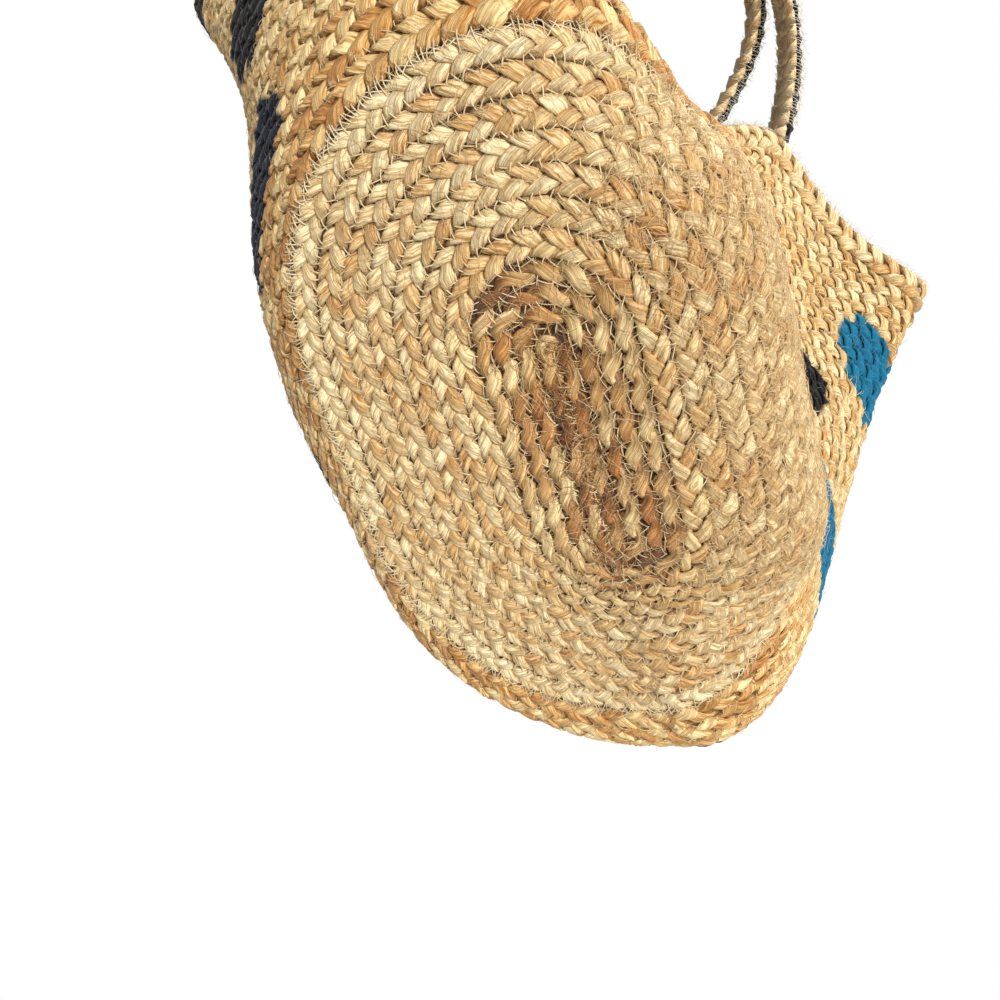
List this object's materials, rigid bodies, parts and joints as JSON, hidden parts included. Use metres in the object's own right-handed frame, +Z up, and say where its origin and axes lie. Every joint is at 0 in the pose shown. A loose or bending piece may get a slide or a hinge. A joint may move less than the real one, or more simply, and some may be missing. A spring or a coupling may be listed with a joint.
{
  "type": "straw tote bag",
  "caption": "Braided jute tote bag with a coiled oval base, soft slouching walls, an open mouth with a low front and back rim and two stiff braided hand loops",
  "frame": {"origin": "centre of the bounding box's footprint, on the surface that the base stands on", "axes": "+Z up from the base to the hand loops; +X along the base's long side; +Y from the front wall, where the base curls up, to the back wall"},
  "size_m": [0.4696, 0.4468, 0.5924],
  "materials": {
    "jute": "matt natural jute braid",
    "dark_jute": "frayed brown jute",
    "edge_jute": "matt pale jute braid",
    "black_jute": "dyed jute braid"
  },
  "bodies": {
    "bag": {"base_core": "dark_jute", "base_coil": "jute", "base_edge_row": "edge_jute", "wall_lower": "jute", "wall_middle": "jute", "wall_upper": "jute", "rim_braid": "edge_jute"},
    "handle_front": {"handle_front_inner": "jute", "handle_front_outer": "black_jute"},
    "handle_back": {"handle_back_inner": "jute", "handle_back_outer": "black_jute"}
  },
  "joints": [
    {"name": "handle_front_swing", "type": "hinge", "parent": "bag", "child": "handle_front", "pos_m": [-0.01336, -0.14539, 0.3486], "axis": [-0.8491, 0.5282, 0], "range_deg": [-75, 0]},
    {"name": "handle_back_swing", "type": "hinge", "parent": "bag", "child": "handle_back", "pos_m": [0.01108, -0.04448, 0.3486], "axis": [-0.8117, 0.5841, 0], "range_deg": [0, 125]}
  ]
}
